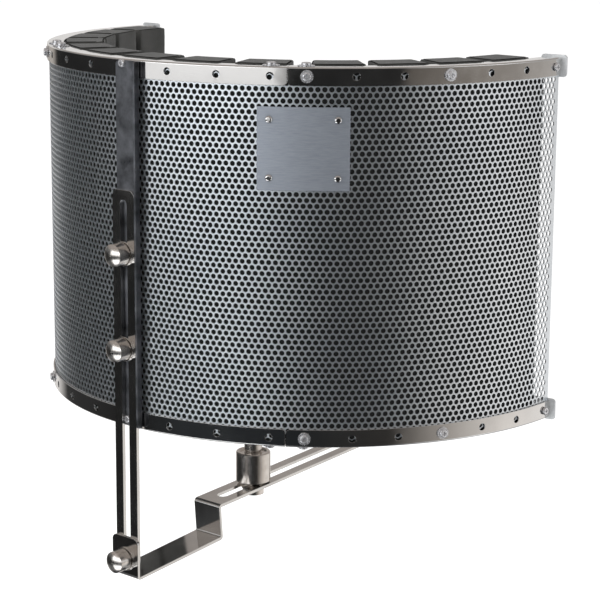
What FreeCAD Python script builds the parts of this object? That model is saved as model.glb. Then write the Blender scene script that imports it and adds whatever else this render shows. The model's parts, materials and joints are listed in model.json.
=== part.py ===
import FreeCAD, Part
import Sketcher
import math
import os

# Curved microphone isolation shield on a slotted hanger and a Z-shaped stand arm.
# Frame, in mm: the origin is the mouth of the stand socket, +Z is up and +Y is the
# open side, where the microphone stands. The wall bends round a vertical axis.

os.makedirs("parts", exist_ok=True)
doc = FreeCAD.newDocument("isolation_shield")
Vec = FreeCAD.Vector
Rot = FreeCAD.Rotation
Pose = FreeCAD.Placement

DIMENSIONS = {
    # curved wall
    "axis_x": -2.5,
    "axis_y": 92.0,
    "centre_z": 244.3,
    "shell_radius": 242.0,
    "shell_half_height": 152.0,
    "half_arc": 94.5,
    "join_angle": 34.3,
    "join_gap_angle": 0.06,
    # channel rims
    "rim_sheet": 1.2,
    "rim_width": 14.5,
    "rim_outer_bend": 1.2,
    "rim_corner": 3.0,
    "rim_hole_radius": 3.0,
    "rim_screw_hole_radius": 1.7,
    "rim_hole_inset": 7.25,
    # wall layers, each as its outer and inner radius
    "panel_outer": 240.4,
    "panel_inner": 239.4,
    "absorber_outer": 239.0,
    "absorber_inner": 229.4,
    "liner_outer": 229.0,
    "liner_inner": 228.0,
    "layer_half_height": 150.4,
    "absorber_half_height": 148.5,
    "inner_layer_arc": 89.5,
    # foam ribs
    "rib_outer": 226.9,
    "rib_inner": 192.0,
    "rib_height": 306.0,
    "rib_bottom": -153.0,
    "rib_angle": 11.2,
    "wing_rib_start": 38.3,
    "wing_rib_end": 88.8,
    # end plates
    "end_plate_depth": 24.0,
    "end_plate_height": 18.0,
    "end_plate_sheet": 1.5,
    "end_plate_corner": 3.0,
    "end_plate_proud": 5.0,
    # screws on the rim faces
    "screw_head_radius": 3.3,
    "screw_head_height": 2.2,
    "screw_shank_radius": 1.6,
    "screw_shank_length": 9.0,
    "screw_dome": 0.9,
    "cross_length": 3.6,
    "cross_width": 0.8,
    "cross_depth": 1.3,
    "washer_radius": 5.0,
    "washer_hole_radius": 1.75,
    "washer_thickness": 0.8,
    # splices between rim segments
    "splice_radius": 234.0,
    "splice_angle": 3.35,
    "splice_plate_length": 40.0,
    "splice_plate_width": 8.0,
    "splice_plate_sheet": 1.5,
    "star_outer_radius": 6.8,
    "star_root_radius": 5.4,
    "star_hole_radius": 2.1,
    "star_thickness": 0.8,
    "splice_head_radius": 3.8,
    "splice_head_height": 2.2,
    "splice_shank_radius": 1.8,
    "splice_shank_length": 6.0,
    "splice_hole_radius": 2.1,
    # angle bracket up the back of the wall
    "bracket_left": 10.5,
    "bracket_right": 15.0,
    "bracket_flange_inner": 13.0,
    "bracket_web": 2.0,
    "bracket_depth": 6.2,
    "bracket_height": 301.0,
    "bracket_corner": 4.0,
    "bracket_tip_corner": 2.4,
    "bracket_inner_bend": 0.8,
    "bracket_outer_bend": 1.6,
    "bracket_gap": 0.3,
    "bracket_bottom": -150.0,
    "bracket_screw_top": 148.7,
    "bracket_screw_low": -144.9,
    "bracket_screw_low_x": -0.5,
    "low_head_radius": 3.2,
    "bracket_screw_hole": 1.75,
    # slotted bar
    "bar_half_width": 12.5,
    "bar_thickness": 3.0,
    "bar_gap": 0.4,
    "bar_top": 47.0,
    "bar_pivot_z": -265.0,
    "bar_corner": 5.5,
    "slot_half_width": 4.0,
    "slot_top": 35.0,
    # knobs, studs and their washers
    "knob_radius": 9.15,
    "knob_length": 14.0,
    "knob_crown_radius": 18.0,
    "knob_bore": 3.05,
    "knob_bore_depth": 9.0,
    "knob_neck_radius": 7.4,
    "knob_neck_length": 0.8,
    "stud_radius": 3.0,
    "stud_reach": 7.0,
    "knob_washer_radius": 10.25,
    "knob_washer_thickness": 1.2,
    "knob_washer_hole": 3.2,
    "knob_high_z": -5.0,
    "knob_low_z": -84.5,
    "pivot_head_radius": 5.5,
    "pivot_head_thickness": 2.4,
    # Z-shaped arm
    "arm_half_width": 15.0,
    "arm_sheet": 2.5,
    "arm_leg_top": -245.5,
    "arm_low_z": -281.0,
    "arm_riser_low_y": -149.5,
    "arm_riser_low_z": -270.5,
    "arm_riser_y": -152.0,
    "arm_riser_top_z": -238.5,
    "arm_top_z": -234.3,
    "arm_end_y": 58.0,
    "arm_end_z": -223.8,
    "arm_bend": 3.2,
    "arm_corner": 5.0,
    "arm_slot_half_width": 5.5,
    "arm_slot_start": -130.5,
    "arm_slot_end": 44.0,
    # stand mount and clamp nut
    "mount_body_radius": 9.5,
    "mount_body_height": 5.3,
    "mount_neck_radius": 5.4,
    "mount_stud_radius": 7.9375,
    "mount_stud_top": 58.0,
    "mount_stud_start": 11.2,
    "mount_shank_radius": 7.9,
    "mount_groove_start": 38.4,
    "mount_groove_end": 39.6,
    "mount_groove_radius": 7.2,
    "socket_radius": 4.7625,
    "socket_depth": 16.0,
    "ring_radius": 10.5,
    "ring_hole": 5.5,
    "ring_thickness": 1.0,
    "nut_radius": 15.4,
    "nut_height": 27.5,
    "nut_bore": 8.0,
    "nut_gap": 1.4,
    "nut_recess_radius": 12.2,
    "nut_recess_depth": 1.4,
    "nut_chamfer": 0.8,
    # blank badge
    "badge_width_angle": 17.3,
    "badge_angle": 37.3,
    "badge_low": 55.5,
    "badge_height": 65.5,
    "badge_thickness": 1.2,
    "badge_gap": 0.3,
    "badge_rivet_pitch": 54.0,
    "badge_rivet_rise": 45.7,
    "rivet_head_radius": 3.1,
    "rivet_head_height": 1.9,
    "rivet_pin_radius": 1.3,
    "rivet_pin_length": 2.2,
}

sheet = doc.addObject("Spreadsheet::Sheet", "dims")
for row, (alias, number) in enumerate(DIMENSIONS.items(), start=1):
    sheet.set("A" + str(row), alias)
    sheet.set("B" + str(row), str(number))
    sheet.setAlias("B" + str(row), alias)
doc.recompute()


def size(alias):
    """Read one driving dimension from the sheet."""
    return float(sheet.get(alias))


def bind(thing, **sizes):
    """Bind properties of a document object to cells of the sheet."""
    for name, formula in sizes.items():
        words = formula.split(" ")
        words = ["dims." + word if word in DIMENSIONS else word for word in words]
        thing.setExpression(name, " ".join(words))
    return thing


def add(kind, label):
    """Make a document object that carries the given label."""
    thing = doc.addObject(kind, label)
    thing.Label = label
    return thing


def at(x, y, z, turn=0.0):
    """A pose at a point, turned about the vertical."""
    return Pose(Vec(x, y, z), Rot(Vec(0, 0, 1), turn))


AXIS = Vec(size("axis_x"), size("axis_y"), size("centre_z"))


def on_wall(angle, radius, height):
    """Pose on the curved wall: +Z points out of the wall, +Y points up.

    The angle is counted round the wall from its middle, towards +X.
    """
    a = math.radians(angle)
    out = Vec(math.sin(a), -math.cos(a), 0)
    along = Vec(math.cos(a), math.sin(a), 0)
    turn = Rot(along, Vec(0, 0, 1), out, "ZXY")
    return Pose(AXIS + out * radius + Vec(0, 0, height), turn)


def box(label, pose, length, width, height):
    thing = bind(add("Part::Box", label), Length=length, Width=width, Height=height)
    thing.Placement = pose
    return thing


def disc(label, pose, radius, height):
    thing = bind(add("Part::Cylinder", label), Radius=radius, Height=height)
    thing.Placement = pose
    return thing


def cut(label, base, tool):
    thing = add("Part::Cut", label)
    thing.Base = base
    thing.Tool = tool
    return thing


def fuse(label, pieces):
    thing = add("Part::MultiFuse", label)
    thing.Shapes = pieces
    thing.Refine = True
    return thing


def group(label, pieces):
    thing = add("Part::Compound", label)
    thing.Links = pieces
    return thing


def sector(label, start, sweep, low, outer, inner, height):
    """A curved wall piece between two radii, from one angle through a sweep."""
    base_z = size("centre_z") + low
    solid = bind(add("Part::Cylinder", label + "_solid"), Radius=outer, Height=height)
    solid.Angle = sweep
    solid.Placement = at(AXIS.x, AXIS.y, base_z, start - 90)
    core = bind(add("Part::Cylinder", label + "_core"), Radius=inner, Height=height + " + 4")
    core.Placement = at(AXIS.x, AXIS.y, base_z - 2)
    return cut(label, solid, core)


def rounded(kind, label, base, chosen, radius):
    """Fillet or chamfer the edges that pass a test."""
    doc.recompute()
    found = [i for i, edge in enumerate(base.Shape.Edges, start=1) if chosen(edge)]
    thing = add(kind, label)
    thing.Base = base
    thing.Edges = [(i, radius, radius) for i in found]
    return thing


def is_line(edge, direction, length, slack=0.05):
    """True for a straight edge along a direction and of a given length."""
    if edge.Curve.TypeId != "Part::GeomLine" or abs(edge.Length - length) > slack:
        return False
    return abs(abs(edge.tangentAt(edge.FirstParameter).dot(direction)) - 1) < 1e-4


def middle(edge):
    return edge.valueAt(0.5 * (edge.FirstParameter + edge.LastParameter))


# --- sketch-based bodies -----------------------------------------------------------

def new_body(label, pose):
    body = add("PartDesign::Body", label)
    body.Placement = pose
    return body


def plane_of(body, role):
    return [item for item in body.Origin.OriginFeatures if item.Role == role][0]


def new_sketch(body, label, role):
    sketch = body.newObject("Sketcher::SketchObject", label)
    sketch.AttachmentSupport = [(plane_of(body, role), "")]
    sketch.MapMode = "FlatFace"
    return sketch


def pin_point(sketch, index, point, u, v):
    """Dimension one sketch point from the origin with signed sheet formulas."""
    for kind, (value, formula) in (("DistanceX", u), ("DistanceY", v)):
        if abs(value) < 1e-9:
            axis = -2 if kind == "DistanceX" else -1
            sketch.addConstraint(Sketcher.Constraint("PointOnObject", index, point, axis))
            continue
        rule = sketch.addConstraint(Sketcher.Constraint(kind, -1, 1, index, point, value))
        bind(sketch, **{"Constraints[" + str(rule) + "]": formula})


def term(formula):
    """Value and formula of a signed sum of aliases and numbers, such as '- bar_top + 2'."""
    words = formula.split(" ")
    total = 0.0
    sign = 1.0
    for word in words:
        if word == "+":
            sign = 1.0
        elif word == "-":
            sign = -1.0
        elif word:
            total += sign * (size(word) if word in DIMENSIONS else float(word))
            sign = 1.0
    return total, formula


def outline(body, label, role, corners):
    """A closed straight-sided profile whose corners are sheet formulas."""
    sketch = new_sketch(body, label, role)
    points = [(term(u), term(v)) for u, v in corners]
    count = len(points)
    for i in range(count):
        a = points[i]
        b = points[(i + 1) % count]
        line = Part.LineSegment(Vec(a[0][0], a[1][0], 0), Vec(b[0][0], b[1][0], 0))
        sketch.addGeometry(line, False)
    for i in range(count):
        sketch.addConstraint(Sketcher.Constraint("Coincident", i, 2, (i + 1) % count, 1))
    for i in range(count):
        pin_point(sketch, i, 1, points[i][0], points[i][1])
    return sketch


def circles(body, label, role, rounds):
    """Round holes, each as (u, v, radius) in sheet formulas."""
    sketch = new_sketch(body, label, role)
    for i, (u, v, radius) in enumerate(rounds):
        centre = Vec(term(u)[0], term(v)[0], 0)
        sketch.addGeometry(Part.Circle(centre, Vec(0, 0, 1), term(radius)[0]), False)
        pin_point(sketch, i, 3, term(u), term(v))
        rule = sketch.addConstraint(Sketcher.Constraint("Radius", i, term(radius)[0]))
        bind(sketch, **{"Constraints[" + str(rule) + "]": radius})
    return sketch


def pad(body, label, sketch, length):
    feature = body.newObject("PartDesign::Pad", label)
    feature.Profile = sketch
    bind(feature, Length=length)
    doc.recompute()
    body.Tip = feature
    return feature


def pocket(body, label, sketch, along_normal=True):
    """Cut a profile right through the side of its plane that the body lies on."""
    before = body.Shape.Volume
    feature = body.newObject("PartDesign::Pocket", label)
    feature.Profile = sketch
    feature.Type = "ThroughAll"
    feature.Reversed = along_normal
    doc.recompute()
    if body.Shape.Volume > before - 0.5:
        raise RuntimeError(label + " removed nothing")
    body.Tip = feature
    return feature


def soften(body, label, kind, chosen, alias):
    """Fillet or chamfer the body's edges that pass a test."""
    doc.recompute()
    base = body.Tip
    names = ["Edge" + str(i) for i, edge in enumerate(base.Shape.Edges, start=1) if chosen(edge)]
    if not names:
        raise RuntimeError(label + " found no edges")
    feature = body.newObject(kind, label)
    feature.Base = (base, names)
    bind(feature, **{"Radius" if kind.endswith("Fillet") else "Size": alias})
    doc.recompute()
    body.Tip = feature
    return feature


def turned(label, pose, corners):
    """A turned piece: a profile of radius and height, revolved about its own Z."""
    body = new_body(label, pose)
    sketch = outline(body, label + "_profile", "XZ_Plane", corners)
    feature = body.newObject("PartDesign::Revolution", label + "_turn")
    feature.Profile = sketch
    feature.ReferenceAxis = (sketch, ["V_Axis"])
    feature.Angle = 360
    doc.recompute()
    body.Tip = feature
    return body


nodes = []

# --- curved wall: sheet, absorber and liner ----------------------------------------

for label, outer, inner, tall, end in (
    ("outer_perforated_panel", "panel_outer", "panel_inner", "layer_half_height", "half_arc"),
    ("absorber_layer", "absorber_outer", "absorber_inner", "absorber_half_height",
     "inner_layer_arc"),
    ("inner_liner_panel", "liner_outer", "liner_inner", "layer_half_height", "inner_layer_arc"),
):
    reach = size(end) - 0.2
    wall = sector(label, -reach, 2 * reach, -size(tall), outer, inner, "2 * " + tall)
    nodes.append(wall)

# --- foam ribs: five behind the middle segment, four behind each wing ---------------

rib = size("rib_angle")
middle_step = (2 * (size("join_angle") - 0.25) - rib) / 4
wing_first = size("wing_rib_start") + rib / 2
wing_step = (size("wing_rib_end") - rib / 2 - wing_first) / 3
rib_centres = [i * middle_step for i in range(-2, 3)]
rib_centres += [side * (wing_first + i * wing_step) for side in (-1, 1) for i in range(4)]
for number, centre in enumerate(sorted(rib_centres), start=1):
    label = "foam_rib_%02d" % number
    low = size("rib_bottom")
    block = sector(label, centre - rib / 2, rib, low, "rib_outer", "rib_inner", "rib_height")
    nodes.append(block)

# --- channel rims, three segments round the top and three round the bottom ----------

MIDDLE_HOLES = (10.36, 20.72, 31.08)
WING_SCREWS = (37.9, 65.1, 92.4)
WING_HOLES = (47.0, 56.0, 74.2, 83.3)
screw_places = []


def rim(label, start, end, side):
    """One rim segment: a face round the outside and a flange over the wall."""
    half = size("shell_half_height")
    width = size("rim_width")
    sheet_t = size("rim_sheet")
    face_low = half - width if side > 0 else -half
    flange_low = half - sheet_t if side > 0 else -half
    sweep = end - start
    radius = "shell_radius"
    face = sector(label + "_face", start, sweep, face_low, radius, "shell_radius - rim_sheet",
                  "rim_width")
    flange = sector(label + "_flange", start, sweep, flange_low, radius,
                    "shell_radius - rim_width", "rim_sheet")
    channel = fuse(label + "_channel", [face, flange])

    def outer_bend(edge):
        if edge.Curve.TypeId != "Part::GeomCircle":
            return False
        high = abs(edge.Curve.Center.z - size("centre_z") - side * half) < 0.01
        return high and abs(edge.Curve.Radius - size("shell_radius")) < 0.01

    def short_corner(edge):
        if edge.Curve.TypeId != "Part::GeomLine" or abs(edge.Length - sheet_t) > 0.05:
            return False
        spot = middle(edge) - AXIS
        low_face = abs(spot.z - side * (half - width)) < 0.01
        inner_edge = abs(math.hypot(spot.x, spot.y) - size("shell_radius") + width) < 0.01
        return low_face or inner_edge

    cornered = rounded("Part::Fillet", label + "_cornered", channel, short_corner, size("rim_corner"))
    bent = rounded("Part::Fillet", label + "_bent", cornered, outer_bend, size("rim_outer_bend"))
    level = side * (half - size("rim_hole_inset"))
    tools = []
    for angle in [sign * a for a in MIDDLE_HOLES + WING_HOLES for sign in (-1, 1)]:
        if start < angle < end:
            pose = on_wall(angle, size("shell_radius") - 4, level)
            tools.append(disc(label + "_hole", pose, "rim_hole_radius", "8"))
    fastened = [sign * a for a in WING_SCREWS for sign in (-1, 1)]
    for angle in fastened:
        if start < angle < end:
            screw_places.append((angle, level))
            pose = on_wall(angle, size("shell_radius") - 4, level)
            tools.append(disc(label + "_screw_hole", pose, "rim_screw_hole_radius", "8"))
    if start < 0 < end:
        low_x = size("bracket_screw_low_x") - AXIS.x
        level = size("bracket_screw_top") if side > 0 else size("bracket_screw_low")
        turn = 0 if side > 0 else math.degrees(low_x / size("shell_radius"))
        pose = on_wall(turn, size("shell_radius") - 4, level)
        tools.append(disc(label + "_bracket_hole", pose, "rim_screw_hole_radius", "8"))
    for angle in splice_angles():
        if start < angle < end:
            spot = on_wall(angle, size("splice_radius"), side * half).Base
            pose = at(spot.x, spot.y, spot.z - 4)
            tools.append(disc(label + "_splice_hole", pose, "splice_hole_radius", "8"))
    return cut(label, bent, group(label + "_holes", tools))


def splice_angles():
    centre = size("join_angle")
    step = size("splice_angle")
    return [side * (centre + way * step) for side in (-1, 1) for way in (-1, 1)]


join = size("join_angle")
gap = size("join_gap_angle")
arc = size("half_arc")
for level_name, side in (("top", 1), ("bottom", -1)):
    nodes.append(rim(level_name + "_rim_left", -arc, -join - gap, side))
    nodes.append(rim(level_name + "_rim_centre", -join + gap, join - gap, side))
    nodes.append(rim(level_name + "_rim_right", join + gap, arc, side))

# --- end plates that close the four rim ends ----------------------------------------

for level_name, side in (("upper", 1), ("lower", -1)):
    for side_name, hand in (("left", -1), ("right", 1)):
        label = "end_plate_" + level_name + "_" + side_name
        reach = size("shell_radius") + size("end_plate_proud") - size("end_plate_depth")
        tall = size("end_plate_height")
        z = side * (size("shell_half_height") + 2) - (tall if side > 0 else 0)
        a = math.radians(hand * size("half_arc"))
        start = Vec(reach * math.sin(a), -reach * math.cos(a), z) + AXIS
        shift = 0.05 if hand > 0 else -0.05 - size("end_plate_sheet")
        start += Vec(math.cos(a), math.sin(a), 0) * shift
        pose = at(start.x, start.y, start.z, math.degrees(a) - 90)
        blank = box(label + "_blank", pose, "end_plate_depth", "end_plate_sheet",
                    "end_plate_height")
        along = Vec(math.cos(a), math.sin(a), 0)
        nodes.append(rounded("Part::Fillet", label, blank,
                             lambda e: is_line(e, along, size("end_plate_sheet")),
                             size("end_plate_corner")))

# --- screws ---------------------------------------------------------------------------


def cross_screw(label, pose, head_radius, head_height, shank_radius, shank_length):
    """Pan head with a cross recess; the pose's +Z points out of the head."""
    head = disc(label + "_head", pose, head_radius, head_height)
    doc.recompute()
    up = pose.Rotation.multVec(Vec(0, 0, 1))

    def rim_edge(edge):
        if edge.Curve.TypeId != "Part::GeomCircle":
            return False
        return (edge.Curve.Center - pose.Base).dot(up) > 0.5

    domed = rounded("Part::Fillet", label + "_domed", head, rim_edge, size("screw_dome"))
    back = pose.multiply(at(0, 0, -size(shank_length)))
    shank = disc(label + "_shank", back, shank_radius, shank_length + " + 0.5")
    blank = fuse(label + "_blank", [domed, shank])
    top = size(head_height) - size("cross_depth")
    reach = size("cross_length") / 2
    thin = size("cross_width") / 2
    one = box(label + "_cross_a", pose.multiply(at(-reach, -thin, top)),
              "cross_length", "cross_width", "cross_depth + 1")
    two = box(label + "_cross_b", pose.multiply(at(-thin, -reach, top)),
              "cross_width", "cross_length", "cross_depth + 1")
    return cut(label, blank, fuse(label + "_cross", [one, two]))


def ring(label, pose, outer, hole, thickness):
    solid = disc(label + "_solid", pose, outer, thickness)
    core = disc(label + "_bore", pose.multiply(at(0, 0, -1)), hole, thickness + " + 2")
    return cut(label, solid, core)


screws = []
washers = []
for number, (angle, level) in enumerate(screw_places, start=1):
    seat = size("shell_radius") + 0.35
    if abs(angle) < size("inner_layer_arc"):
        washers.append(ring("rim_washer_%02d" % number, on_wall(angle, seat, level),
                            "washer_radius", "washer_hole_radius", "washer_thickness"))
        seat += size("washer_thickness") + 0.05
    pose = on_wall(angle, seat, level)
    screws.append(cross_screw("rim_screw_%02d" % number, pose, "screw_head_radius",
                              "screw_head_height", "screw_shank_radius", "screw_shank_length"))
nodes.append(group("rim_screws", screws))
nodes.append(group("rim_washers", washers))

# --- splices: a plate under each flange joint, two screws on toothed washers ----------

plates = []
splice_screws = []
stars = []
for side in (1, -1):
    for hand in (-1, 1):
        tag = "_%s_%s" % ("top" if side > 0 else "low", "right" if hand > 0 else "left")
        spot = on_wall(hand * size("join_angle"), size("splice_radius"), 0).Base
        under = size("shell_half_height") - size("rim_sheet") - 0.1
        low = under - size("splice_plate_sheet") if side > 0 else -under
        pose = at(spot.x, spot.y, spot.z + low, hand * size("join_angle"))
        local = at(-size("splice_plate_length") / 2, -size("splice_plate_width") / 2, 0)
        plate = box("splice_plate" + tag, pose.multiply(local), "splice_plate_length",
                    "splice_plate_width", "splice_plate_sheet")
        holes = []
        for way in (-1, 1):
            angle = hand * (size("join_angle") + way * size("splice_angle"))
            name = tag + ("_a" if way < 0 else "_b")
            place = on_wall(angle, size("splice_radius"), 0).Base
            face = size("shell_half_height") + 0.05
            flip = Rot(Vec(1, 0, 0), 0 if side > 0 else 180)
            seat = Pose(Vec(place.x, place.y, place.z + side * face), flip)
            solid = disc("star_solid" + name, seat, "star_root_radius", "star_thickness")
            teeth = []
            for tooth in range(12):
                turn = Pose(Vec(0, 0, 0), Rot(Vec(0, 0, 1), 30.0 * tooth))
                step = at(size("star_root_radius") - 0.8, -0.9, 0)
                spot_pose = seat.multiply(turn).multiply(step)
                teeth.append(box("star_tooth" + name, spot_pose,
                                 "star_outer_radius - star_root_radius + 0.8", "1.8",
                                 "star_thickness"))
            blank = fuse("star_blank" + name, [solid] + teeth)
            bore = disc("star_bore" + name, seat.multiply(at(0, 0, -1)), "star_hole_radius",
                        "star_thickness + 2")
            stars.append(cut("star_washer" + name, blank, bore))
            head_pose = seat.multiply(at(0, 0, size("star_thickness") + 0.05))
            splice_screws.append(cross_screw("splice_screw" + name, head_pose,
                                             "splice_head_radius", "splice_head_height",
                                             "splice_shank_radius", "splice_shank_length"))
            hole_pose = at(place.x, place.y, place.z + low - 2)
            holes.append(disc("splice_bore" + name, hole_pose, "splice_hole_radius", "6"))
        plates.append(cut("drilled_plate" + tag, plate, group("splice_bores" + tag, holes)))
nodes.append(group("splice_plates", plates))
nodes.append(group("splice_screws", splice_screws))
nodes.append(group("star_washers", stars))

# --- angle bracket up the back, with the slotted bar in front of it -------------------

web_y = size("axis_y") - size("shell_radius") - size("bracket_gap")
bracket = new_body("mounting_bracket", at(0, web_y, size("centre_z") + size("bracket_bottom")))
profile = outline(bracket, "bracket_profile", "XY_Plane", [
    ("- bracket_left", "0"),
    ("- bracket_left", "- bracket_web"),
    ("bracket_flange_inner", "- bracket_web"),
    ("bracket_flange_inner", "- bracket_depth"),
    ("bracket_right", "- bracket_depth"),
    ("bracket_right", "0"),
])
pad(bracket, "bracket_bar", profile, "bracket_height")
UP = Vec(0, 0, 1)
X_WAY = Vec(1, 0, 0)
Y_WAY = Vec(0, 1, 0)


def bracket_fold(edge):
    spot = middle(edge)
    corner = abs(spot.x - size("bracket_flange_inner")) + abs(spot.y + size("bracket_web")) < 0.01
    return is_line(edge, UP, size("bracket_height")) and corner


def bracket_heel(edge):
    far = abs(middle(edge).x - size("bracket_right")) < 0.01
    return is_line(edge, UP, size("bracket_height")) and far and abs(middle(edge).y) < 0.01


soften(bracket, "bracket_fold_inside", "PartDesign::Fillet", bracket_fold, "bracket_inner_bend")
soften(bracket, "bracket_fold_outside", "PartDesign::Fillet", bracket_heel, "bracket_outer_bend")


def bracket_side(edge):
    return is_line(edge, Y_WAY, size("bracket_web")) and middle(edge).x < -10


def bracket_tip(edge):
    tip = is_line(edge, X_WAY, size("bracket_right") - size("bracket_flange_inner"))
    return tip and abs(middle(edge).y + size("bracket_depth")) < 0.01


soften(bracket, "bracket_corners", "PartDesign::Fillet", bracket_side, "bracket_corner")
soften(bracket, "bracket_tips", "PartDesign::Fillet", bracket_tip, "bracket_tip_corner")
bracket_holes = circles(bracket, "bracket_holes", "XZ_Plane", [
    ("axis_x", "bracket_screw_top - bracket_bottom", "bracket_screw_hole"),
    ("bracket_screw_low_x", "bracket_screw_low - bracket_bottom", "bracket_screw_hole"),
    ("0", "knob_high_z - bracket_bottom", "stud_radius"),
    ("0", "knob_low_z - bracket_bottom", "stud_radius"),
])
pocket(bracket, "bracket_drilling", bracket_holes)
nodes.append(bracket)

front = Rot(Vec(1, 0, 0), 90)
web_front = web_y - size("bracket_web")


def facing_out(y, level, x=0.0):
    """A pose on the hanger whose +Z points outwards, along -Y."""
    return Pose(Vec(x, y, size("centre_z") + level), front)


bracket_screws = []
for name, x, head in (("top", AXIS.x, "screw_head_radius"),
                      ("low", size("bracket_screw_low_x"), "low_head_radius")):
    seat = facing_out(web_front - 0.05, size("bracket_screw_" + name), x)
    bracket_screws.append(cross_screw("bracket_screw_at_" + name, seat, head,
                                      "screw_head_height", "screw_shank_radius",
                                      "screw_shank_length"))
nodes.append(group("bracket_screws", bracket_screws))

bar_back = web_front - size("bar_gap")
bar_front = bar_back - size("bar_thickness")
pivot_level = size("centre_z") + size("bar_pivot_z")
bar = new_body("slotted_bar", at(0, bar_back, pivot_level))
bar_profile = outline(bar, "bar_profile", "XZ_Plane", [
    ("- bar_half_width", "- bar_half_width"),
    ("bar_half_width", "- bar_half_width"),
    ("bar_half_width", "bar_top - bar_pivot_z"),
    ("- bar_half_width", "bar_top - bar_pivot_z"),
])
pad(bar, "bar_plate", bar_profile, "bar_thickness")


def bar_top_corner(edge):
    return is_line(edge, Y_WAY, size("bar_thickness")) and middle(edge).z > 0


def bar_low_corner(edge):
    return is_line(edge, Y_WAY, size("bar_thickness")) and middle(edge).z < 0


soften(bar, "bar_top_corners", "PartDesign::Fillet", bar_top_corner, "bar_corner")
low_round = soften(bar, "bar_round_end", "PartDesign::Fillet", bar_low_corner, "bar_half_width")
low_round.setExpression("Radius", "dims.bar_half_width - 0.01")
slot_sketch = new_sketch(bar, "bar_slot", "XZ_Plane")
slot_r = size("slot_half_width")
slot_high = size("slot_top") - size("bar_pivot_z")
slot_sketch.addGeometry(Part.ArcOfCircle(Part.Circle(Vec(0, slot_high, 0), Vec(0, 0, 1), slot_r),
                                         0, math.pi), False)
slot_sketch.addGeometry(Part.ArcOfCircle(Part.Circle(Vec(0, 0, 0), Vec(0, 0, 1), slot_r),
                                         math.pi, 2 * math.pi), False)
slot_sketch.addGeometry(Part.LineSegment(Vec(-slot_r, slot_high, 0), Vec(-slot_r, 0, 0)), False)
slot_sketch.addGeometry(Part.LineSegment(Vec(slot_r, 0, 0), Vec(slot_r, slot_high, 0)), False)
for first, point_a, second, point_b in ((0, 2, 2, 1), (2, 2, 1, 1), (1, 2, 3, 1), (3, 2, 0, 1)):
    slot_sketch.addConstraint(Sketcher.Constraint("Tangent", first, point_a, second, point_b))
slot_sketch.addConstraint(Sketcher.Constraint("Coincident", 1, 3, -1, 1))
slot_sketch.addConstraint(Sketcher.Constraint("PointOnObject", 0, 3, -2))
rule = slot_sketch.addConstraint(Sketcher.Constraint("Radius", 1, slot_r))
bind(slot_sketch, **{"Constraints[" + str(rule) + "]": "slot_half_width"})
rule = slot_sketch.addConstraint(Sketcher.Constraint("DistanceY", -1, 1, 0, 3, slot_high))
bind(slot_sketch, **{"Constraints[" + str(rule) + "]": "slot_top - bar_pivot_z"})
pocket(bar, "bar_slotting", slot_sketch)
nodes.append(bar)

# --- studs, washers and knobs of the hanger ---------------------------------------------


def stud(label, level):
    """A stud fixed in the bracket web that reaches through the bar into its knob."""
    length = "bracket_web + bar_gap + bar_thickness + knob_washer_thickness + stud_reach"
    return disc(label, facing_out(web_y, level), "stud_radius", length + " + 0.1")


def knob(label, y, level):
    """A turned knob with a domed end, a blind bore and a short neck."""
    pose = facing_out(y, level)
    drum = turned(label + "_drum", pose, [
        ("knob_bore", "0"),
        ("knob_neck_radius", "0"),
        ("knob_neck_radius", "knob_neck_length"),
        ("knob_radius", "knob_neck_length"),
        ("knob_radius", "knob_length"),
        ("0", "knob_length"),
        ("0", "knob_bore_depth"),
        ("knob_bore", "knob_bore_depth"),
    ])
    dome = bind(add("Part::Sphere", label + "_dome"), Radius="knob_crown_radius")
    dome.Placement = pose.multiply(at(0, 0, size("knob_length") - size("knob_crown_radius")))
    domed = add("Part::MultiCommon", label)
    domed.Shapes = [drum, dome]
    return domed


for name, level_alias in (("upper", "knob_high_z"), ("lower", "knob_low_z")):
    level = size(level_alias)
    nodes.append(stud("clamp_stud_" + name, level))
    washer_y = bar_front - 0.05
    nodes.append(ring("knob_washer_" + name, facing_out(washer_y, level),
                      "knob_washer_radius", "knob_washer_hole", "knob_washer_thickness"))
    nodes.append(knob("clamp_knob_" + name, washer_y - size("knob_washer_thickness") - 0.05, level))

# --- Z-shaped arm and its pivot bolt ------------------------------------------------------

leg_inner = bar_front - 0.1
arm_leg_y = leg_inner - size("arm_sheet")
arm = new_body("z_arm", at(-size("arm_half_width"), size("axis_y"), size("centre_z")))
leg_back = size("axis_y") - arm_leg_y
sheet.set("A200", "arm_leg_reach")
sheet.set("B200", "%.4f" % leg_back)
sheet.setAlias("B200", "arm_leg_reach")
DIMENSIONS["arm_leg_reach"] = leg_back
doc.recompute()
arm_profile = outline(arm, "arm_profile", "YZ_Plane", [
    ("- arm_leg_reach", "arm_leg_top"),
    ("- arm_leg_reach", "arm_low_z"),
    ("arm_riser_low_y + arm_sheet", "arm_riser_low_z"),
    ("arm_riser_y + arm_sheet", "arm_riser_top_z - arm_sheet"),
    ("arm_end_y", "arm_end_z - arm_sheet"),
    ("arm_end_y", "arm_end_z"),
    ("arm_riser_y", "arm_riser_top_z"),
    ("arm_riser_low_y", "arm_riser_low_z + arm_sheet"),
    ("- arm_leg_reach + arm_sheet", "arm_low_z + arm_sheet"),
    ("- arm_leg_reach + arm_sheet", "arm_leg_top"),
])
pad(arm, "arm_strip", arm_profile, "arm_half_width + arm_half_width")
wide = 2 * size("arm_half_width")
thick = size("arm_sheet")


def near(edge, y, z):
    spot = middle(edge)
    return is_line(edge, X_WAY, wide) and abs(spot.y - y) < 0.02 and abs(spot.z - z) < 0.02


def outer_folds(edge):
    outside = near(edge, -leg_back, size("arm_low_z"))
    below = near(edge, size("arm_riser_low_y") + thick, size("arm_riser_low_z"))
    return outside or below or near(edge, size("arm_riser_y"), size("arm_riser_top_z"))


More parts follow.
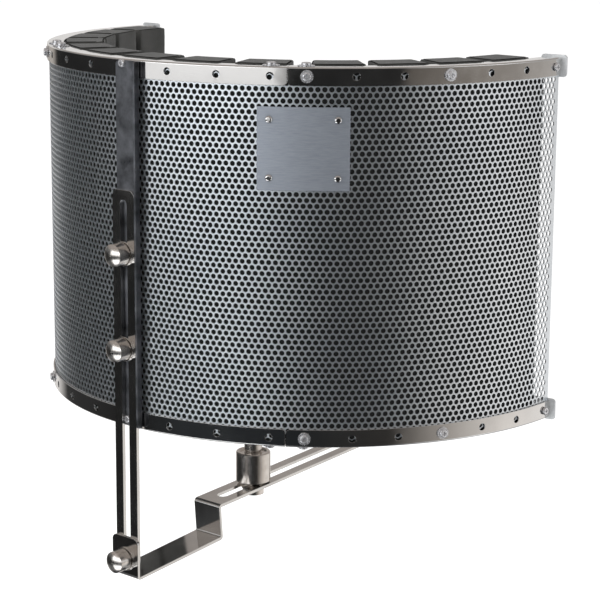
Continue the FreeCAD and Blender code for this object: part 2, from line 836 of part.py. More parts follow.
def inner_folds(edge):
    below = near(edge, size("arm_riser_low_y"), size("arm_riser_low_z") + thick)
    above = near(edge, size("arm_riser_y") + thick, size("arm_riser_top_z") - thick)
    return below or above


soften(arm, "arm_outer_bends", "PartDesign::Fillet", outer_folds, "arm_bend")
inner = soften(arm, "arm_inner_bends", "PartDesign::Fillet", inner_folds, "arm_bend")
inner.setExpression("Radius", "dims.arm_bend - dims.arm_sheet + 0.4")


def arm_free_corner(edge):
    spot = middle(edge)
    leg = is_line(edge, Y_WAY, thick) and abs(spot.z - size("arm_leg_top")) < 0.02
    tip = is_line(edge, UP, thick) and abs(spot.y - size("arm_end_y")) < 0.02
    return leg or tip


soften(arm, "arm_corners", "PartDesign::Fillet", arm_free_corner, "arm_corner")
pivot_hole = circles(arm, "arm_pivot_hole", "XZ_Plane", [
    ("arm_half_width", "bar_pivot_z", "knob_washer_hole"),
])
pivot_hole.AttachmentOffset = Pose(Vec(0, 0, leg_back - 2 * thick), Rot())
pocket(arm, "arm_pivot_drilling", pivot_hole)

slot_sketch = new_sketch(arm, "arm_slot", "XY_Plane")
slot_r = size("arm_slot_half_width")
mid_x = size("arm_half_width")
y1 = size("arm_slot_start")
y2 = size("arm_slot_end")
slot_sketch.addGeometry(Part.ArcOfCircle(Part.Circle(Vec(mid_x, y2, 0), Vec(0, 0, 1), slot_r),
                                         0, math.pi), False)
slot_sketch.addGeometry(Part.ArcOfCircle(Part.Circle(Vec(mid_x, y1, 0), Vec(0, 0, 1), slot_r),
                                         math.pi, 2 * math.pi), False)
slot_sketch.addGeometry(Part.LineSegment(Vec(mid_x - slot_r, y2, 0), Vec(mid_x - slot_r, y1, 0)),
                        False)
slot_sketch.addGeometry(Part.LineSegment(Vec(mid_x + slot_r, y1, 0), Vec(mid_x + slot_r, y2, 0)),
                        False)
for first, point_a, second, point_b in ((0, 2, 2, 1), (2, 2, 1, 1), (1, 2, 3, 1), (3, 2, 0, 1)):
    slot_sketch.addConstraint(Sketcher.Constraint("Tangent", first, point_a, second, point_b))
pin_point(slot_sketch, 0, 3, term("arm_half_width"), term("arm_slot_end"))
pin_point(slot_sketch, 1, 3, term("arm_half_width"), term("arm_slot_start"))
rule = slot_sketch.addConstraint(Sketcher.Constraint("Radius", 1, slot_r))
bind(slot_sketch, **{"Constraints[" + str(rule) + "]": "arm_slot_half_width"})
pocket(arm, "arm_slotting", slot_sketch, along_normal=False)
nodes.append(arm)

pivot = size("bar_pivot_z")
head_y = bar_back + 0.05 + size("pivot_head_thickness")
head = disc("pivot_head", facing_out(head_y, pivot), "pivot_head_radius", "pivot_head_thickness")
shank = disc("pivot_shank", facing_out(head_y, pivot), "stud_radius",
             "pivot_head_thickness + bar_thickness + arm_sheet + knob_washer_thickness"
             " + stud_reach + 0.2")
nodes.append(fuse("pivot_bolt", [head, shank]))
washer_y = arm_leg_y - 0.05
nodes.append(ring("knob_washer_pivot", facing_out(washer_y, pivot), "knob_washer_radius",
                  "knob_washer_hole", "knob_washer_thickness"))
nodes.append(knob("clamp_knob_pivot", washer_y - size("knob_washer_thickness") - 0.05, pivot))

# --- stand mount, its ring and the round clamp nut ----------------------------------------

nodes.append(turned("stand_mount", at(0, 0, 0), [
    ("socket_radius", "0"),
    ("mount_body_radius", "0"),
    ("mount_body_radius", "mount_body_height"),
    ("mount_neck_radius", "mount_body_height"),
    ("mount_neck_radius", "mount_stud_start"),
    ("mount_shank_radius", "mount_stud_start + 0.6"),
    ("mount_shank_radius", "mount_groove_start"),
    ("mount_groove_radius", "mount_groove_start"),
    ("mount_groove_radius", "mount_groove_end"),
    ("mount_stud_radius", "mount_groove_end"),
    ("mount_stud_radius", "mount_stud_top - 1"),
    ("mount_stud_radius - 1", "mount_stud_top"),
    ("0", "mount_stud_top"),
    ("0", "socket_depth"),
    ("socket_radius", "socket_depth"),
]))
ring_z = size("mount_body_height") + 0.1
nodes.append(ring("slot_washer", at(0, 0, ring_z), "ring_radius", "ring_hole", "ring_thickness"))
arm_face = size("centre_z") + size("arm_top_z")
nodes.append(turned("clamp_nut", at(0, 0, arm_face + size("nut_gap")), [
    ("nut_bore", "0"),
    ("nut_radius - nut_chamfer", "0"),
    ("nut_radius", "nut_chamfer"),
    ("nut_radius", "nut_height - nut_chamfer"),
    ("nut_radius - nut_chamfer", "nut_height"),
    ("nut_recess_radius", "nut_height"),
    ("nut_recess_radius", "nut_height - nut_recess_depth"),
    ("nut_bore", "nut_height - nut_recess_depth"),
]))

# --- blank badge plate and its rivets -------------------------------------------------------

badge_inner = size("panel_outer") + size("badge_gap")
sheet.set("A201", "badge_inner")
sheet.set("B201", str(badge_inner))
sheet.setAlias("B201", "badge_inner")
DIMENSIONS["badge_inner"] = badge_inner
doc.recompute()
nodes.append(sector("badge_plate", size("badge_angle") - size("badge_width_angle") / 2,
                    size("badge_width_angle"), size("badge_low"),
                    "badge_inner + badge_thickness", "badge_inner", "badge_height"))
rivets = []
half_pitch = math.degrees(size("badge_rivet_pitch") / 2 / size("shell_radius"))
badge_mid = size("badge_low") + size("badge_height") / 2
for across in (-1, 1):
    for rise in (-1, 1):
        tag = "_%s%s" % ("r" if across > 0 else "l", "t" if rise > 0 else "b")
        level = badge_mid + rise * size("badge_rivet_rise") / 2
        face = badge_inner + size("badge_thickness") + 0.02
        pose = on_wall(size("badge_angle") + across * half_pitch, face, level)
        head = disc("rivet_head" + tag, pose, "rivet_head_radius", "rivet_head_height")
        out = pose.Rotation.multVec(Vec(0, 0, 1))
        domed = rounded("Part::Fillet", "rivet_dome" + tag, head,
                        lambda e: e.Curve.TypeId == "Part::GeomCircle"
                        and (e.Curve.Center - pose.Base).dot(out) > 0.5,
                        size("rivet_head_height") * 0.9)
        back = pose.multiply(at(0, 0, -size("rivet_pin_length")))
        pin = disc("rivet_pin" + tag, back, "rivet_pin_radius", "rivet_pin_length + 0.3")
        rivets.append(fuse("rivet" + tag, [domed, pin]))
nodes.append(group("badge_rivets", rivets))

# --- checks and export ------------------------------------------------------------------------

doc.recompute()
for thing in doc.Objects:
    if "Invalid" in thing.State or "Error" in thing.State:
        raise RuntimeError(thing.Label + " did not build")
for node in nodes:
    shape = node.Shape
    if shape.isNull() or not shape.isValid() or not shape.Solids:
        raise RuntimeError(node.Label + " has no valid solid")
    shape.exportStep("parts/" + node.Label + ".step")
print(len(nodes), "nodes written")
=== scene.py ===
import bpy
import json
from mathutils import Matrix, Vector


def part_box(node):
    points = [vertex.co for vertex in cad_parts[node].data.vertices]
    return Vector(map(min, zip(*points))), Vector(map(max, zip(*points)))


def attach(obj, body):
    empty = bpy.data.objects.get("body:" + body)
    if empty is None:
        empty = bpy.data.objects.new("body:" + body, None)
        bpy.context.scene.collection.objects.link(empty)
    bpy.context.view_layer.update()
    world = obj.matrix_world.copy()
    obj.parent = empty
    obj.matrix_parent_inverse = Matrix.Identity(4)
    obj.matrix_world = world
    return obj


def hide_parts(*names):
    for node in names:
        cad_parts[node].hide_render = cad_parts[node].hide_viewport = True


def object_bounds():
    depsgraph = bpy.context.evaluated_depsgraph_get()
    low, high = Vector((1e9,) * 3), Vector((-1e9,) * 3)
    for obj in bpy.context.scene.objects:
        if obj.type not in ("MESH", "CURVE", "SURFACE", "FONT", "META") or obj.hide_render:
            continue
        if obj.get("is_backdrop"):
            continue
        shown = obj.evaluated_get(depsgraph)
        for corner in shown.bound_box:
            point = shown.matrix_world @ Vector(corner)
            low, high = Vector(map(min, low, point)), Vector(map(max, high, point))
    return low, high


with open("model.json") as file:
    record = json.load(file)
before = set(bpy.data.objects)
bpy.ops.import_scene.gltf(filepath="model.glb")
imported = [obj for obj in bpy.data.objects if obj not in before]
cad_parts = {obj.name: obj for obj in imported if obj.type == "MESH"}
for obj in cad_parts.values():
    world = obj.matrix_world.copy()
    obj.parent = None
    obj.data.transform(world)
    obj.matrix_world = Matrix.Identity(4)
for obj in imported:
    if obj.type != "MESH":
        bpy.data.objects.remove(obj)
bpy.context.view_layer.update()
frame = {"nodes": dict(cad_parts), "record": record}

import json
import math

import bpy
from mathutils import Matrix, Vector, noise

NODES = frame["nodes"]
MM = 0.001

# The wall bends round a vertical axis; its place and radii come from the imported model.
panel_low, panel_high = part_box("outer_perforated_panel")
PANEL_RADIUS = 0.5 * (panel_high.x - panel_low.x)
AXIS_X = 0.5 * (panel_low.x + panel_high.x)
AXIS_Y = panel_low.y + PANEL_RADIUS
CENTRE_Z = 0.5 * (panel_low.z + panel_high.z)
SHEET_THICKNESS = 1.0 * MM


# --- mesh helpers ------------------------------------------------------------------

def wall_point(angle, radius, height):
    """A point on the curved wall: angle in radians from its middle (-Y) towards +X."""
    return Vector((AXIS_X + radius * math.sin(angle), AXIS_Y - radius * math.cos(angle), height))


def polar_span(node):
    """Angle and radius limits of a wall piece about the wall's axis."""
    angles = []
    radii = []
    for vertex in node.data.vertices:
        across = vertex.co.x - AXIS_X
        angles.append(math.atan2(across, AXIS_Y - vertex.co.y))
        radii.append(math.hypot(across, AXIS_Y - vertex.co.y))
    return min(angles), max(angles), min(radii), max(radii)


def new_piece(name, verts, faces, material, body):
    """A mesh piece that rides a body and takes the given material."""
    mesh = bpy.data.meshes.new(name)
    mesh.from_pydata([tuple(v) for v in verts], [], faces)
    mesh.validate()
    mesh.update()
    piece = bpy.data.objects.new(name, mesh)
    bpy.context.scene.collection.objects.link(piece)
    mesh.materials.append(material)
    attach(piece, body)
    return piece


def smooth(piece, degrees):
    """Smooth shading with edges sharper than this many degrees kept crisp."""
    piece.data.shade_smooth()
    piece.data.set_sharp_from_angle(angle=math.radians(degrees))


# --- materials ---------------------------------------------------------------------

# Noise values mostly lie between these two, so colours and roughness are spread over them.
NOISE_LOW = 0.3
NOISE_HIGH = 0.7


class Shader:
    """A Principled material with short calls for its procedural nodes."""

    def __init__(self, name, colour, metallic, roughness, **sockets):
        self.material = bpy.data.materials.new(name)
        self.material.use_nodes = True
        self.tree = self.material.node_tree
        self.bsdf = self.tree.nodes["Principled BSDF"]
        self.bsdf.inputs["Base Color"].default_value = (*colour, 1)
        self.bsdf.inputs["Metallic"].default_value = metallic
        self.bsdf.inputs["Roughness"].default_value = roughness
        for socket, value in sockets.items():
            self.bsdf.inputs[socket.replace("_", " ")].default_value = value
        self.place = self.tree.nodes.new("ShaderNodeTexCoord")

    def link(self, source, target):
        self.tree.links.new(source, target)

    def stretched(self, scale):
        """Object coordinates scaled by a vector, for brushed or drawn grain."""
        mapping = self.tree.nodes.new("ShaderNodeMapping")
        mapping.inputs["Scale"].default_value = scale
        self.link(self.place.outputs["Object"], mapping.inputs["Vector"])
        return mapping.outputs["Vector"]

    def noise(self, scale, detail=4.0, rough=0.55, vector=None):
        node = self.tree.nodes.new("ShaderNodeTexNoise")
        node.inputs["Scale"].default_value = scale
        node.inputs["Detail"].default_value = detail
        node.inputs["Roughness"].default_value = rough
        self.link(vector or self.place.outputs["Object"], node.inputs["Vector"])
        return node.outputs["Fac"]

    def cells(self, scale):
        node = self.tree.nodes.new("ShaderNodeTexVoronoi")
        node.inputs["Scale"].default_value = scale
        self.link(self.place.outputs["Object"], node.inputs["Vector"])
        return node.outputs["Distance"]

    def tint(self, source, dark, light):
        """Colour that drifts from dark to light with a noise value."""
        node = self.tree.nodes.new("ShaderNodeValToRGB")
        first, last = node.color_ramp.elements
        first.position = NOISE_LOW
        first.color = (*dark, 1)
        last.position = NOISE_HIGH
        last.color = (*light, 1)
        self.link(source, node.inputs["Fac"])
        self.link(node.outputs["Color"], self.bsdf.inputs["Base Color"])

    def roughness(self, source, low, high):
        """Roughness that drifts from low to high with a noise value."""
        node = self.tree.nodes.new("ShaderNodeMapRange")
        node.inputs["From Min"].default_value = NOISE_LOW
        node.inputs["From Max"].default_value = NOISE_HIGH
        node.inputs["To Min"].default_value = low
        node.inputs["To Max"].default_value = high
        self.link(source, node.inputs["Value"])
        self.link(node.outputs["Result"], self.bsdf.inputs["Roughness"])

    def bump(self, source, height, strength=1.0, edge=0.0):
        """Bump of a height in metres, over edges softened by a small radius."""
        node = self.tree.nodes.new("ShaderNodeBump")
        node.inputs["Strength"].default_value = strength
        node.inputs["Distance"].default_value = height
        self.link(source, node.inputs["Height"])
        if edge:
            self.link(self.soft_edges(edge), node.inputs["Normal"])
        self.link(node.outputs["Normal"], self.bsdf.inputs["Normal"])

    def soft_edges(self, radius):
        node = self.tree.nodes.new("ShaderNodeBevel")
        node.samples = 4
        node.inputs["Radius"].default_value = radius
        return node.outputs["Normal"]


def perforated_aluminium():
    shader = Shader("perforated_aluminium", (0.82, 0.87, 0.92), 0.97, 0.33)
    grain = shader.noise(900.0, 3.0, 0.6)
    patches = shader.noise(14.0, 3.0, 0.5)
    shader.tint(patches, (0.78, 0.83, 0.88), (0.89, 0.93, 0.97))
    shader.roughness(grain, 0.28, 0.38)
    shader.bump(grain, 0.02 * MM, 0.35)
    return shader.material


def polished_chrome():
    shader = Shader("polished_chrome", (0.80, 0.79, 0.78), 1.0, 0.07)
    film = shader.noise(30.0, 5.0, 0.6)
    hairline = shader.noise(60.0, 2.0, 0.5, shader.stretched((1.0, 1.0, 40.0)))
    shader.tint(film, (0.74, 0.73, 0.72), (0.84, 0.83, 0.82))
    shader.roughness(film, 0.05, 0.12)
    shader.bump(hairline, 0.004 * MM, 0.25, edge=0.35 * MM)
    return shader.material


def dark_chrome():
    shader = Shader("dark_chrome", (0.72, 0.71, 0.70), 1.0, 0.1)
    film = shader.noise(22.0, 5.0, 0.6)
    drawn = shader.noise(70.0, 3.0, 0.6, shader.stretched((60.0, 2.0, 2.0)))
    shader.tint(film, (0.64, 0.63, 0.62), (0.80, 0.79, 0.77))
    shader.roughness(film, 0.06, 0.15)
    shader.bump(drawn, 0.01 * MM, 0.2, edge=0.5 * MM)
    return shader.material


def stamped_steel():
    shader = Shader("stamped_steel", (0.16, 0.17, 0.18), 1.0, 0.38)
    mottle = shader.noise(55.0, 6.0, 0.65)
    fine = shader.noise(700.0, 3.0, 0.6)
    shader.tint(mottle, (0.11, 0.115, 0.125), (0.34, 0.35, 0.38))
    shader.roughness(mottle, 0.26, 0.46)
    shader.bump(fine, 0.02 * MM, 0.4, edge=0.5 * MM)
    return shader.material


def zinc_steel():
    shader = Shader("zinc_steel", (0.74, 0.74, 0.76), 0.88, 0.27)
    tone = shader.noise(400.0, 4.0, 0.6)
    shader.tint(tone, (0.64, 0.64, 0.66), (0.82, 0.82, 0.84))
    shader.roughness(tone, 0.20, 0.34)
    shader.bump(tone, 0.01 * MM, 0.3, edge=0.25 * MM)
    return shader.material


def pale_zinc():
    shader = Shader("pale_zinc", (0.66, 0.67, 0.68), 0.6, 0.5)
    cloud = shader.noise(60.0, 5.0, 0.6)
    shader.tint(cloud, (0.58, 0.60, 0.61), (0.72, 0.73, 0.74))
    shader.roughness(cloud, 0.42, 0.58)
    shader.bump(cloud, 0.01 * MM, 0.3, edge=0.3 * MM)
    return shader.material


def satin_nickel():
    shader = Shader("satin_nickel", (0.74, 0.70, 0.66), 1.0, 0.2)
    tone = shader.noise(120.0, 4.0, 0.6)
    turned = shader.noise(500.0, 3.0, 0.7)
    shader.tint(tone, (0.66, 0.62, 0.58), (0.82, 0.78, 0.74))
    shader.roughness(turned, 0.16, 0.26)
    shader.bump(turned, 0.004 * MM, 0.25, edge=0.4 * MM)
    return shader.material


def satin_badge():
    shader = Shader("satin_badge", (0.30, 0.33, 0.38), 0.75, 0.42)
    grain = shader.noise(120.0, 4.0, 0.6, shader.stretched((1.0, 1.0, 14.0)))
    shader.tint(grain, (0.30, 0.33, 0.38), (0.38, 0.41, 0.46))
    shader.roughness(grain, 0.36, 0.48)
    shader.bump(grain, 0.01 * MM, 0.25, edge=0.3 * MM)
    return shader.material


def charcoal_foam():
    shader = Shader("charcoal_foam", (0.030, 0.030, 0.028), 0.0, 0.95,
                    Sheen_Weight=0.12, Sheen_Roughness=0.6)
    pores = shader.cells(1100.0)
    patches = shader.noise(35.0, 4.0, 0.6)
    shader.tint(patches, (0.022, 0.022, 0.020), (0.040, 0.039, 0.036))
    shader.bump(pores, 0.5 * MM, 0.8)
    return shader.material


def absorber_felt():
    shader = Shader("absorber_felt", (0.006, 0.0066, 0.0063), 0.0, 0.95)
    fibres = shader.noise(900.0, 5.0, 0.7)
    shader.tint(fibres, (0.0036, 0.0042, 0.0039), (0.0105, 0.0111, 0.0108))
    shader.bump(fibres, 0.4 * MM, 0.7)
    return shader.material


MATERIALS = {
    "perforated_aluminium": perforated_aluminium(),
    "liner_aluminium": stamped_steel(),
    "polished_rim": polished_chrome(),
    "dark_chrome": dark_chrome(),
    "stamped_steel": stamped_steel(),
    "zinc_steel": zinc_steel(),
    "pale_zinc": pale_zinc(),
    "satin_nickel": satin_nickel(),
    "satin_badge": satin_badge(),
    "charcoal_foam": charcoal_foam(),
    "absorber_felt": absorber_felt(),
}
MATERIALS["bright_chrome"] = MATERIALS["polished_rim"]
SLOT_OF_NODE = {part["node"]: part["material_slot"] for part in frame["record"]["subparts"]}


def dress_nodes():
    """Every CAD node that stays shown takes the material of its slot."""
    for name, node in NODES.items():
        material = MATERIALS[SLOT_OF_NODE[name]]
        node.data.materials.clear()
        node.data.materials.append(material)


# --- perforated sheet -----------------------------------------------------------------

HOLE_PITCH = 5.4 * MM
ROW_PITCH = 4.56 * MM
HOLE_RADIUS = 2.1 * MM
HOLE_SIDES = 12
PLAIN_END = 3 * MM        # least width without holes at each end of the sheet

END_ANGLE = polar_span(NODES["outer_perforated_panel"])[1]
PITCH_ANGLE = HOLE_PITCH / PANEL_RADIUS
COLUMNS = int(2 * (END_ANGLE - PLAIN_END / PANEL_RADIUS) / PITCH_ANGLE)
ROWS = int((panel_high.z - panel_low.z) / ROW_PITCH) - 1


class SheetBuilder:
    """A stretch of staggered holes, as a closed sheet with real hole walls."""

    def __init__(self):
        self.flat = []
        self.faces = []
        self.shared = {}

    def corner(self, key, u, v):
        if key not in self.shared:
            self.shared[key] = self.point(u, v)
        return self.shared[key]

    def point(self, u, v):
        self.flat.append((u, v))
        return len(self.flat) - 1

    def cell(self, column, row):
        """One hole in its six-sided cell; lattice keys keep neighbours joined."""
        half = 2 * column + row % 2
        u = half * 0.5 * PITCH_ANGLE - COLUMNS * 0.5 * PITCH_ANGLE
        v = (row - 0.5 * (ROWS - 1)) * ROW_PITCH
        ring = []
        for i in range(HOLE_SIDES):
            turn = 2 * math.pi * i / HOLE_SIDES
            du = HOLE_RADIUS * math.cos(turn) / PANEL_RADIUS
            ring.append(self.point(u + du, v + HOLE_RADIUS * math.sin(turn)))
        outer = []
        for step, rise in ((1, 1), (0, 2), (-1, 1), (-1, -1), (0, -2), (1, -1)):
            key = (half + step, 3 * row + rise)
            outer.append(self.corner(key, u + step * 0.5 * PITCH_ANGLE, v + rise * ROW_PITCH / 3))
        for i in range(6):
            first = 2 * i + 1
            arc = [ring[(first + k) % HOLE_SIDES] for k in range(3)]
            self.faces.append([outer[i], outer[(i + 1) % 6], arc[2], arc[1], arc[0]])
        return ring

    def margin(self, side, edge_u):
        """A plain strip from the last zigzag of cells to the straight sheet end."""
        column = COLUMNS - 1 if side > 0 else 0
        inner = []
        for row in range(ROWS):
            half = 2 * column + row % 2 + side
            inner.append(self.shared[(half, 3 * row - 1)])
            inner.append(self.shared[(half, 3 * row + 1)])
        outer = [self.point(edge_u, self.flat[i][1]) for i in inner]
        for i in range(len(inner) - 1):
            quad = [inner[i], outer[i], outer[i + 1], inner[i + 1]]
            self.faces.append(quad if side > 0 else quad[::-1])

    def solid(self, radius, thickness, centre_z):
        """Lift the flat pattern on to the wall and close it front, back and edges."""
        count = len(self.flat)
        verts = [wall_point(u, radius, centre_z + v) for u, v in self.flat]
        verts += [wall_point(u, radius - thickness, centre_z + v) for u, v in self.flat]
        faces = [list(face) for face in self.faces]
        edges = {}
        for face in self.faces:
            for a, b in zip(face, face[1:] + face[:1]):
                edges[(a, b)] = edges.get((a, b), 0) + 1
        faces += [[i + count for i in reversed(face)] for face in self.faces]
        for a, b in edges:
            if (b, a) not in edges:
                faces.append([b, a, a + count, b + count])
        return verts, faces


def perforated_sheet():
    """The outer sheet in four stretches round the wall."""
    cuts = [0, COLUMNS // 4, COLUMNS // 2, 3 * COLUMNS // 4, COLUMNS]
    names = ("left_wing", "left_middle", "right_middle", "right_wing")
    for i, name in enumerate(names):
        sheet = SheetBuilder()
        for column in range(cuts[i], cuts[i + 1]):
            for row in range(ROWS):
                sheet.cell(column, row)
        if i == 0:
            sheet.margin(-1, -END_ANGLE)
        if i == 3:
            sheet.margin(1, END_ANGLE)
        verts, faces = sheet.solid(PANEL_RADIUS, SHEET_THICKNESS, CENTRE_Z)
        piece = new_piece("perforated_sheet_" + name, verts, faces,
                          MATERIALS["perforated_aluminium"], "shield")
        smooth(piece, 40)
        if i == 0:
            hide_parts("outer_perforated_panel")


# --- foam ribs -------------------------------------------------------------------------

def rounded_loop(width, depth, corner, steps=4, spacing=5 * MM):
    """Points of a rounded rectangle about the origin, split into short stretches."""
    loop = []
    for quadrant, (sx, sy) in enumerate(((1, 1), (-1, 1), (-1, -1), (1, -1))):
        cx = sx * (width / 2 - corner)
        cy = sy * (depth / 2 - corner)
        for k in range(steps + 1):
            turn = math.pi / 2 * (quadrant + k / steps)
            loop.append((cx + corner * math.cos(turn), cy + corner * math.sin(turn)))
    dense = []
    for a, b in zip(loop, loop[1:] + loop[:1]):
        length = math.hypot(b[0] - a[0], b[1] - a[1])
        parts = max(1, round(length / spacing))
        for k in range(parts):
            t = k / parts
            dense.append((a[0] + (b[0] - a[0]) * t, a[1] + (b[1] - a[1]) * t))
    return dense


FOAM_CORNER = 1.6 * MM
FOAM_STEPS = 44
FOAM_SKIN = 0.25 * MM     # the skin lies this far inside the block, so that it can wave
WAVE_HEIGHT = 0.35 * MM
WAVE_SCALE = 45.0
GRAIN_HEIGHT = 0.12 * MM
GRAIN_SCALE = 260.0


def rib_levels(low_z, high_z):
    """Heights of a rib's cross-sections, each with how far its edges draw in."""
    levels = [(low_z, FOAM_CORNER), (low_z + 0.3 * FOAM_CORNER, 0.3 * FOAM_CORNER)]
    levels.append((low_z + FOAM_CORNER, 0.0))
    straight = high_z - low_z - 2 * FOAM_CORNER
    for k in range(1, FOAM_STEPS):
        levels.append((low_z + FOAM_CORNER + straight * k / FOAM_STEPS, 0.0))
    levels.append((high_z - FOAM_CORNER, 0.0))
    levels += [(high_z - 0.3 * FOAM_CORNER, 0.3 * FOAM_CORNER), (high_z, FOAM_CORNER)]
    return levels


def foam_rib(name):
    """A cut foam block that follows the wall, with soft edges and a slightly uneven skin."""
    start, end, inner, outer = polar_span(NODES[name])
    low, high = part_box(name)
    middle_angle = 0.5 * (start + end)
    middle_radius = 0.5 * (inner + outer)
    width = (end - start) * middle_radius
    depth = outer - inner
    levels = rib_levels(low.z, high.z)
    verts = []
    for z, inset in levels:
        centre = wall_point(middle_angle, middle_radius, z)
        for x, y in rounded_loop(width - 2 * inset, depth - 2 * inset, FOAM_CORNER):
            spot = wall_point(middle_angle + x / middle_radius, middle_radius - y, z)
            wave = noise.noise(spot * WAVE_SCALE) * WAVE_HEIGHT
            grain = noise.noise(spot * GRAIN_SCALE) * GRAIN_HEIGHT
            verts.append(spot + (spot - centre).normalized() * (wave + grain - FOAM_SKIN))
    count = len(verts) // len(levels)
    faces = []
    for level in range(len(levels) - 1):
        base = level * count
        for i in range(count):
            j = (i + 1) % count
            faces.append([base + j, base + i, base + i + count, base + j + count])
    faces.append(list(range(count)))
    faces.append([len(verts) - 1 - i for i in range(count)])
    piece = new_piece(name + "_block", verts, faces, MATERIALS["charcoal_foam"], "shield")
    smooth(piece, 50)
    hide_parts(name)


# --- camera, light and floor --------------------------------------------------------------

CAMERA_AZIMUTH = math.radians(41.16)
CAMERA_PITCH = math.radians(12.22)
CAMERA_ROLL = math.radians(0.39)
CAMERA_DISTANCE = 1.7957
CAMERA_LEFT = 0.01795     # the view's middle lies left of the wall's centre, and below it
CAMERA_DOWN = 0.08151
CAMERA_LENS = 119.3


def camera():
    """A level view from a little above, on the badge side of the hanger."""
    back = Vector((math.sin(CAMERA_AZIMUTH) * math.cos(CAMERA_PITCH),
                   -math.cos(CAMERA_AZIMUTH) * math.cos(CAMERA_PITCH),
                   math.sin(CAMERA_PITCH)))
    right = Vector((math.cos(CAMERA_AZIMUTH), math.sin(CAMERA_AZIMUTH), 0))
    up = back.cross(right)
    data = bpy.data.cameras.new("camera")
    data.sensor_width = 36.0
    data.lens = CAMERA_LENS
    data.clip_start = 0.05
    data.clip_end = 60.0
    camera_object = bpy.data.objects.new("camera", data)
    centre = Vector((AXIS_X, AXIS_Y, CENTRE_Z))
    place = centre + back * CAMERA_DISTANCE - right * CAMERA_LEFT - up * CAMERA_DOWN
    rolled_right = math.cos(CAMERA_ROLL) * right + math.sin(CAMERA_ROLL) * up
    rolled_up = -math.sin(CAMERA_ROLL) * right + math.cos(CAMERA_ROLL) * up
    turn = Matrix((rolled_right, rolled_up, back)).transposed()
    camera_object.matrix_world = Matrix.Translation(place) @ turn.to_4x4()
    bpy.context.scene.collection.objects.link(camera_object)
    bpy.context.scene.camera = camera_object


def grey(value, warm=0.0):
    """A grey that leans to red and away from blue by a share, or the other way below zero."""
    return (value * (1 + warm), value, value * (1 - warm))


# What polished metal mirrors, by compass angle from the hanger, as (degrees, colour) stops:
# the level band shows in the top rim, the low band in the bottom rim.
LEVEL_BAND = [
    (-180, grey(0.50, 0.04)), (-118, grey(0.42, 0.08)), (-108, grey(0.40, 0.08)),
    (-102, grey(0.02)), (-47, grey(0.02)), (-42, grey(0.95)), (22, grey(1.0)),
    (27, grey(0.015)), (72, grey(0.02)), (78, grey(0.11, 0.12)), (110, grey(0.22, 0.10)),
    (145, grey(0.38, 0.06)), (180, grey(0.50, 0.04)),
]
LOW_BAND = [
    (-180, grey(0.80, 0.03)), (-110, grey(0.75, 0.03)), (-96, grey(0.04)),
    (-40, grey(0.015)), (-18, grey(0.03, -0.1)), (30, grey(0.02, -0.1)),
    (70, grey(0.03, 0.06)), (92, grey(0.30, 0.08)), (125, grey(0.75, 0.05)),
    (150, grey(0.85, 0.03)), (180, grey(0.80, 0.03)),
]
# Only tilted edges mirror the raised band, but the satin sheet gathers its light.
RAISED_BAND = [
    (-180, grey(0.30, -0.03)), (-160, grey(0.70, 0.02)), (-105, grey(0.75, 0.02)),
    (-88, grey(0.15, -0.03)), (-44, grey(0.12, -0.03)), (-32, grey(2.5, -0.02)),
    (12, grey(2.5, -0.02)), (26, grey(0.50, -0.03)), (40, grey(0.05, -0.03)),
    (72, grey(0.07, -0.03)), (92, grey(1.1, -0.02)), (118, grey(1.6, -0.02)),
    (135, grey(0.50, -0.02)), (180, grey(0.30, -0.03)),
]
GROUND = (0.03, 0.03, 0.035)
CEILING = (0.36, 0.33, 0.31)
EVEN_LIGHT = 0.9
BACKDROP_EXTRA = 0.15     # added to the even light where the camera sees the backdrop


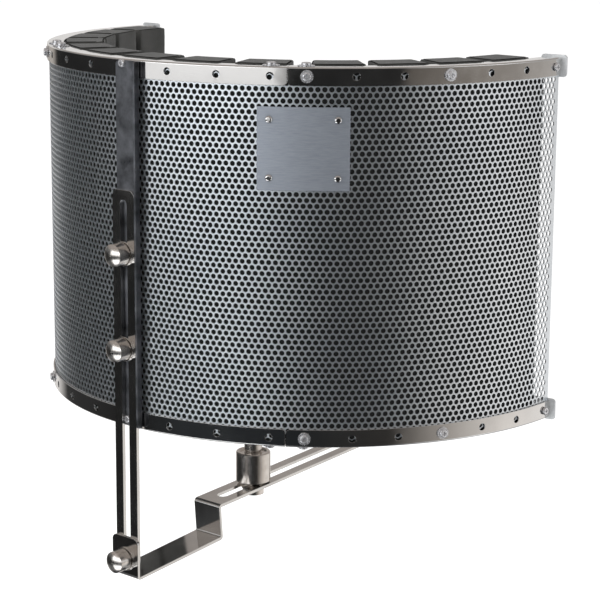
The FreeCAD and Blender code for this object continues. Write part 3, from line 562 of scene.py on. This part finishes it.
def studio_world():
    """Even light for matt surfaces, and bands of dark and bright cards for metal to mirror."""
    world = bpy.data.worlds.new("studio")
    bpy.context.scene.world = world
    world.use_nodes = True
    tree = world.node_tree
    tree.nodes.clear()

    def math_node(operation, *values):
        made = tree.nodes.new("ShaderNodeMath")
        made.operation = operation
        for socket, value in zip(made.inputs, values):
            if isinstance(value, float):
                socket.default_value = value
            else:
                tree.links.new(value, socket)
        return made.outputs[0]

    def plain(colour):
        made = tree.nodes.new("ShaderNodeRGB")
        made.outputs[0].default_value = (*colour, 1)
        return made.outputs[0]

    def band(stops):
        made = tree.nodes.new("ShaderNodeValToRGB")
        elements = made.color_ramp.elements
        for i, (degrees, colour) in enumerate(stops):
            spot = (degrees + 180) / 360
            element = elements[i] if i < 2 else elements.new(spot)
            element.position = spot
            element.color = (*colour, 1)
        tree.links.new(position, made.inputs["Fac"])
        return made.outputs["Color"]

    def blend(low, high, factor):
        made = tree.nodes.new("ShaderNodeMix")
        made.data_type = "RGBA"
        tree.links.new(factor, made.inputs[0])
        tree.links.new(low, made.inputs[6])
        tree.links.new(high, made.inputs[7])
        return made.outputs[2]

    def rising(value, start, end):
        made = tree.nodes.new("ShaderNodeMapRange")
        made.interpolation_type = "SMOOTHSTEP"
        made.inputs["From Min"].default_value = start
        made.inputs["From Max"].default_value = end
        tree.links.new(value, made.inputs["Value"])
        return made.outputs["Result"]

    place = tree.nodes.new("ShaderNodeTexCoord")
    parts = tree.nodes.new("ShaderNodeSeparateXYZ")
    tree.links.new(place.outputs["Generated"], parts.inputs[0])
    backward = math_node("MULTIPLY", parts.outputs["Y"], -1.0)
    compass = math_node("ARCTAN2", parts.outputs["X"], backward)
    position = math_node("ADD", math_node("DIVIDE", compass, 2 * math.pi), 0.5)
    rise = parts.outputs["Z"]
    raised = band(RAISED_BAND)
    mirrored = plain(GROUND)
    for layer, start, end in (
        (raised, -0.76, -0.66),
        (band(LOW_BAND), -0.46, -0.41),
        (band(LEVEL_BAND), -0.135, -0.115),
        (raised, -0.07, -0.01),
        (plain(CEILING), 0.16, 0.24),
    ):
        mirrored = blend(mirrored, layer, rising(rise, start, end))
    pattern = tree.nodes.new("ShaderNodeBackground")
    tree.links.new(mirrored, pattern.inputs["Color"])

    path = tree.nodes.new("ShaderNodeLightPath")
    even = tree.nodes.new("ShaderNodeBackground")
    even.inputs["Color"].default_value = (1, 1, 1, 1)
    strength = math_node("MULTIPLY_ADD", path.outputs["Is Camera Ray"], BACKDROP_EXTRA, EVEN_LIGHT)
    tree.links.new(strength, even.inputs["Strength"])
    choose = tree.nodes.new("ShaderNodeMixShader")
    tree.links.new(path.outputs["Is Glossy Ray"], choose.inputs[0])
    tree.links.new(even.outputs[0], choose.inputs[1])
    tree.links.new(pattern.outputs[0], choose.inputs[2])
    output = tree.nodes.new("ShaderNodeOutputWorld")
    tree.links.new(choose.outputs[0], output.inputs["Surface"])


FLOOR_DROP = 0.45
FLOOR_REACH = 14.0


def floor():
    """A plain pale floor well below the held part."""
    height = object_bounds()[0].z - FLOOR_DROP
    corners = [(x * FLOOR_REACH, y * FLOOR_REACH, height)
               for x, y in ((-1, -1), (1, -1), (1, 1), (-1, 1))]
    mesh = bpy.data.meshes.new("floor")
    mesh.from_pydata(corners, [], [(0, 1, 2, 3)])
    plane = bpy.data.objects.new("floor", mesh)
    bpy.context.scene.collection.objects.link(plane)
    shader = Shader("pale_floor", (0.95, 0.95, 0.95), 0.0, 0.9, Emission_Color=(1, 1, 1, 1),
                    Emission_Strength=0.2)
    shade = shader.noise(1.5, 2.0, 0.5)
    shader.tint(shade, (0.94, 0.94, 0.94), (0.96, 0.96, 0.96))
    mesh.materials.append(shader.material)
    plane.visible_glossy = False
    plane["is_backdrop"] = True


LIT_POINT = Vector((0, 0.1, 0.2))


def softbox(name, place, size, power):
    """A square area light in metres and watts, turned to the lit point; metal mirrors no trace."""
    data = bpy.data.lights.new(name, "AREA")
    data.shape = "SQUARE"
    data.size = size
    data.energy = power
    light = bpy.data.objects.new(name, data)
    light.location = place
    light.rotation_euler = (LIT_POINT - light.location).to_track_quat("-Z", "Y").to_euler()
    light.visible_glossy = False
    bpy.context.scene.collection.objects.link(light)


# --- the scene -----------------------------------------------------------------------------

dress_nodes()
perforated_sheet()
for part_name in sorted(NODES):
    if part_name.startswith("foam_rib"):
        foam_rib(part_name)
camera()
studio_world()
floor()
softbox("key", (-1.2, -2.2, 2.2), size=1.6, power=60)
softbox("fill", (2.4, -1.2, 1.2), size=1.8, power=25)
bpy.context.scene.view_settings.view_transform = "Standard"
